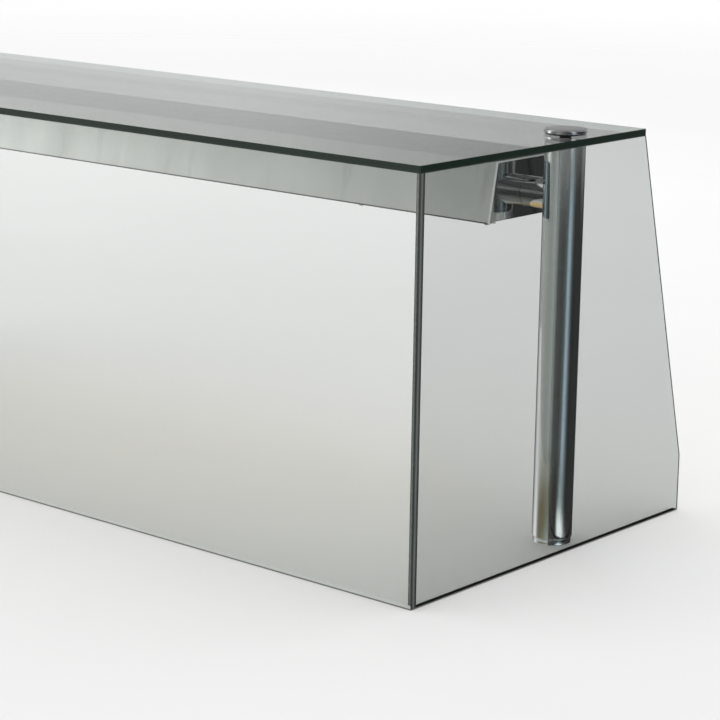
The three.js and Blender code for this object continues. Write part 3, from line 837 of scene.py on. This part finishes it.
def make_floor():
    """A pale floor. It fades into the white room, is clear from below, and mirrors don't show it."""
    made, tree = material("floor")
    half_size, fade_from, fade_to = 8, 1.8, 7.5
    cloud = tree.noise(1.5, detail=2.0)
    inputs = {
        "Base Color": tree.ramp(cloud, [(0.3, grey(0.85)), (0.7, grey(0.87))]),
        "Roughness": 0.9,
        "Specular IOR Level": 0.0,
    }
    above = tree.add("ShaderNodeBsdfPrincipled", inputs)
    clear = tree.add("ShaderNodeBsdfTransparent")
    back = tree.add("ShaderNodeNewGeometry").outputs["Backfacing"]
    away = tree.add("ShaderNodeVectorMath", {0: tree.coords()}, operation="LENGTH").outputs["Value"]
    fade = tree.maths("MAXIMUM", back, tree.span(away, 0.0, 1.0, fade_from, fade_to))
    mix = tree.add("ShaderNodeMixShader", {0: fade, 1: above.outputs[0], 2: clear.outputs[0]})
    tree.end(mix.outputs[0])
    bm = bmesh.new()
    bmesh.ops.create_grid(bm, x_segments=2, y_segments=2, size=half_size)
    floor = finish_mesh(bm, "floor", [made])
    floor.visible_glossy = False


# What mirrors show round the object, by compass direction in degrees from +X towards +Y.
WALL = [
    (-180, grey(1.05)),
    (-166, grey(1.15)),
    (-157, (0.95, 0.94, 0.90)),
    (-149, (0.88, 0.87, 0.82)),
    (-134, (0.70, 0.72, 0.67)),
    (-112, (0.64, 0.68, 0.65)),
    (-92, (0.76, 0.80, 0.78)),
    (-79, (0.78, 0.82, 0.81)),
    (-75, grey(0.14)),
    (-42, grey(0.10)),
    (-30, (0.15, 0.19, 0.21)),
    (-22, (0.24, 0.30, 0.34)),
    (-14, (0.85, 1.05, 1.18)),
    (-5, (0.88, 1.06, 1.20)),
    (4, (0.36, 0.45, 0.52)),
    (12, (0.13, 0.15, 0.17)),
    (24, grey(0.06)),
    (100, grey(0.05)),
    (120, grey(0.18)),
    (150, grey(0.30)),
    (160, grey(0.34)),
    (172, grey(0.85)),
    (180, grey(1.05)),
]
LOW_WALL = [
    (-180, grey(1.35)),
    (-166, grey(1.45)),
    (-157, (0.85, 0.78, 0.74)),
    (-146, (0.36, 0.32, 0.26)),
    (-138, (0.24, 0.21, 0.14)),
    (-110, (0.24, 0.21, 0.11)),
    (-90, (0.29, 0.30, 0.22)),
    (-79, (0.27, 0.31, 0.27)),
    (-73, grey(0.11)),
    (-45, grey(0.055)),
    (-30, (0.10, 0.13, 0.14)),
    (-20, (0.55, 0.66, 0.70)),
    (-10, (0.60, 0.70, 0.72)),
    (4, (0.22, 0.26, 0.27)),
    (16, grey(0.055)),
    (100, grey(0.055)),
    (130, grey(0.18)),
    (160, grey(0.8)),
    (180, grey(1.35)),
]
CEILING = [
    (-180, grey(0.9)),
    (-164, grey(1.2)),
    (-154, grey(4.3)),
    (-144, grey(4.1)),
    (-135, grey(1.2)),
    (-127, grey(0.56)),
    (-110, grey(0.52)),
    (-92, grey(0.85)),
    (-26, grey(0.36)),
    (6, grey(0.4)),
    (20, grey(0.5)),
    (50, grey(0.8)),
    (108, grey(0.8)),
    (118, grey(0.22)),
    (127, grey(0.38)),
    (133, grey(0.58)),
    (145, grey(0.64)),
    (180, grey(0.9)),
]
FOOT_GLINT = [(-38, grey(0)), (-24, grey(2.8)), (2, grey(2.8)), (14, grey(0.9)), (42, grey(0))]
CEILING_GLEAM = [(-26, grey(0)), (-16, grey(2.3)), (-4, grey(2.3)), (6, grey(0))]
WARM, PALE = (0.88, 0.62, 0.24), (0.60, 0.58, 0.53)
GROUND = [(-180, WARM), (-168, WARM), (-150, PALE), (110, PALE), (140, WARM), (180, WARM)]
SKYLINE_DROP = [(45, grey(0)), (70, grey(0.08)), (105, grey(0.08)), (124, grey(0))]
BLACK = (0, 0, 0, 1)


def by_compass(tree, turn, stops):
    """The colour of a table at the turn, which runs from 0 to 1 round the compass."""
    return tree.ramp(turn, [((degrees + 180) / 360, colour) for degrees, colour in stops])


def make_sky(tree, turn, height):
    """Bright panels high up, dimmer towards the zenith, and one gleam that starts just above eye level."""
    risen = tree.span(height, 0.0, 1.0, 0.03, 0.08)
    gleaming = tree.blend(risen, BLACK, by_compass(tree, turn, CEILING_GLEAM))
    upper = tree.blend(1.0, by_compass(tree, turn, CEILING), gleaming, "ADD")
    dimming = [(0.0, grey(1.0)), (0.16, grey(1.0)), (0.32, grey(0.42)), (0.8, grey(0.38))]
    return tree.blend(1.0, upper, tree.ramp(tree.span(height, 0.0, 1.0), dimming), "MULTIPLY")


def make_walls(tree, turn, height):
    """Upright panels, darker ones with a glint where a post's foot mirrors them, and the ground below."""
    down = tree.span(height, 0.0, 1.0, -0.285, -0.425)
    lowering = tree.ramp(down, [(0.11, grey(0)), (0.5, grey(1)), (0.76, grey(1)), (1.0, grey(0))])
    glinting = tree.ramp(down, [(0.64, grey(0)), (0.71, grey(1)), (0.92, grey(1)), (1.0, grey(0))])
    glint = tree.blend(glinting, BLACK, by_compass(tree, turn, FOOT_GLINT))
    near_feet = tree.blend(1.0, by_compass(tree, turn, LOW_WALL), glint, "ADD")
    walls = tree.blend(lowering, by_compass(tree, turn, WALL), near_feet)
    return tree.blend(tree.span(height, 1.0, 0.0, -0.85, -0.5), walls, by_compass(tree, turn, GROUND))


def make_world():
    """White all round. Only mirrors show the studio: a ceiling, walls of light panels, and the ground."""
    world = bpy.data.worlds.new("studio")
    bpy.context.scene.world = world
    tree = Tree(world)
    direction = tree.add("ShaderNodeTexCoord").outputs["Generated"]
    parts = tree.add("ShaderNodeSeparateXYZ", {0: direction}).outputs
    compass = tree.maths("ARCTAN2", parts["Y"], parts["X"])
    turn = tree.span(compass, 0.0, 1.0, -math.pi, math.pi)
    sky = make_sky(tree, turn, parts["Z"])
    walls = make_walls(tree, turn, parts["Z"])
    raised = tree.maths("ADD", parts["Z"], by_compass(tree, turn, SKYLINE_DROP))
    room = tree.blend(tree.span(raised, 0.0, 1.0, -0.04, 0.06), walls, sky)
    glossy = tree.add("ShaderNodeLightPath").outputs["Is Glossy Ray"]
    white = tree.add("ShaderNodeBackground", {"Color": (1.0, 1.0, 1.0, 1), "Strength": 1.0})
    mirrored = tree.add("ShaderNodeBackground", {"Color": room, "Strength": 1.0})
    mix = tree.add("ShaderNodeMixShader", {0: glossy, 1: white.outputs[0], 2: mirrored.outputs[0]})
    tree.add("ShaderNodeOutputWorld", {"Surface": mix.outputs[0]})


def add_light(name, place_m, aim, size, power):
    data = bpy.data.lights.new(name, "AREA")
    data.shape = "RECTANGLE"
    data.size, data.size_y = size
    data.energy = power
    lamp = bpy.data.objects.new(name, data)
    lamp.location = place_m
    lamp.visible_glossy = False
    lamp.visible_camera = False
    lamp.rotation_mode = "QUATERNION"
    lamp.rotation_quaternion = (Vector(aim) - Vector(place_m)).to_track_quat("-Z", "Y")
    bpy.context.scene.collection.objects.link(lamp)


def make_lights():
    """Soft boxes: overhead, at the back left and at the front left. Mirrors show the studio instead."""
    add_light("overhead", (0.2, 0.3, 3.2), (0, 0.2, 0), (3.2, 2.4), 9)
    add_light("back_left", (-2.4, 2.0, 1.6), (-1.4, 1.0, 0), (1.6, 1.6), 11)
    add_light("front_left", (-2.4, -2.8, 1.6), (0, 0, 0.3), (2.0, 1.6), 8)


make_camera()
make_top_glass()
make_front_glass()
for side, way in SIDES.items():
    make_end_glass(side, way)
    make_post(side)
make_bonds()
make_seals()
make_arms()
make_canopy()
make_screws()
make_gear()
make_lamp()
make_floor()
make_world()
make_lights()

scene = bpy.context.scene
scene.view_settings.view_transform = "Standard"
scene.cycles.transparent_max_bounces = 32
